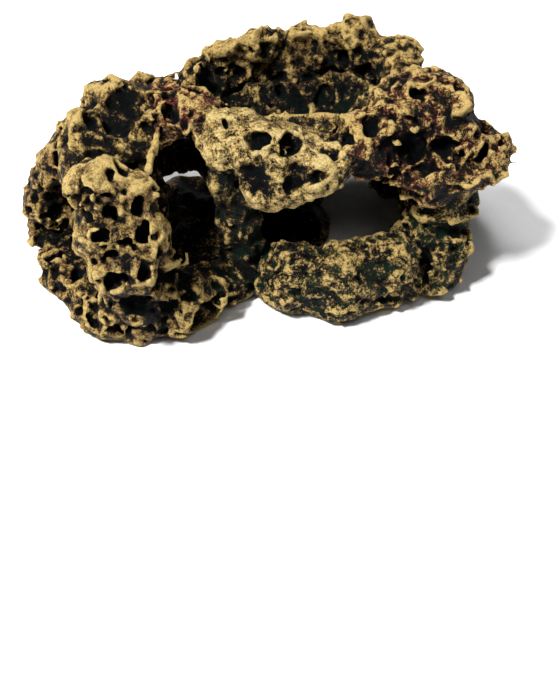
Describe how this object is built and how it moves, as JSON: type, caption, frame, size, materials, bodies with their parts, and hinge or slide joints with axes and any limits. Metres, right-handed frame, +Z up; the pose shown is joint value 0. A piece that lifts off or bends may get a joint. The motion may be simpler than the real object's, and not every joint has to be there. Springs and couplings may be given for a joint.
{
  "type": "aquarium cave ornament",
  "caption": "Weathered coral-rock aquarium hide with a pitted side alcove, arched swim-through caves under a jutting lip, and an open crater bowl on top.",
  "frame": {"origin": "centre of the footprint's bounding box, on the surface that the ornament stands on", "axes": "+X along the length towards the knobby boulder, +Y towards the back, away from the cave mouths, +Z up"},
  "size_m": [0.2806, 0.1586, 0.1234],
  "materials": {
    "ochre_resin": "matte",
    "dark_ochre_resin": "matte",
    "cream_resin": "matte",
    "maroon_resin": "matte",
    "mossy_resin": "matte",
    "umber_resin": "matte"
  },
  "bodies": {
    "root": {"coral_column": "ochre_resin", "lip_rock": "cream_resin", "crown_rock": "dark_ochre_resin", "right_boulder": "dark_ochre_resin", "rear_rim": "ochre_resin", "sill_rock": "mossy_resin", "middle_pillar": "umber_resin", "front_foot": "ochre_resin", "right_end": "mossy_resin", "basin_rim": "ochre_resin", "left_hood": "ochre_resin", "cave_partition": "umber_resin", "bridge_rock": "maroon_resin", "rear_left_wall": "umber_resin", "rear_right_wall": "umber_resin", "crater_bowl": "umber_resin", "middle_cave_floor": "umber_resin", "right_cave_floor": "umber_resin"}
  },
  "joints": []
}
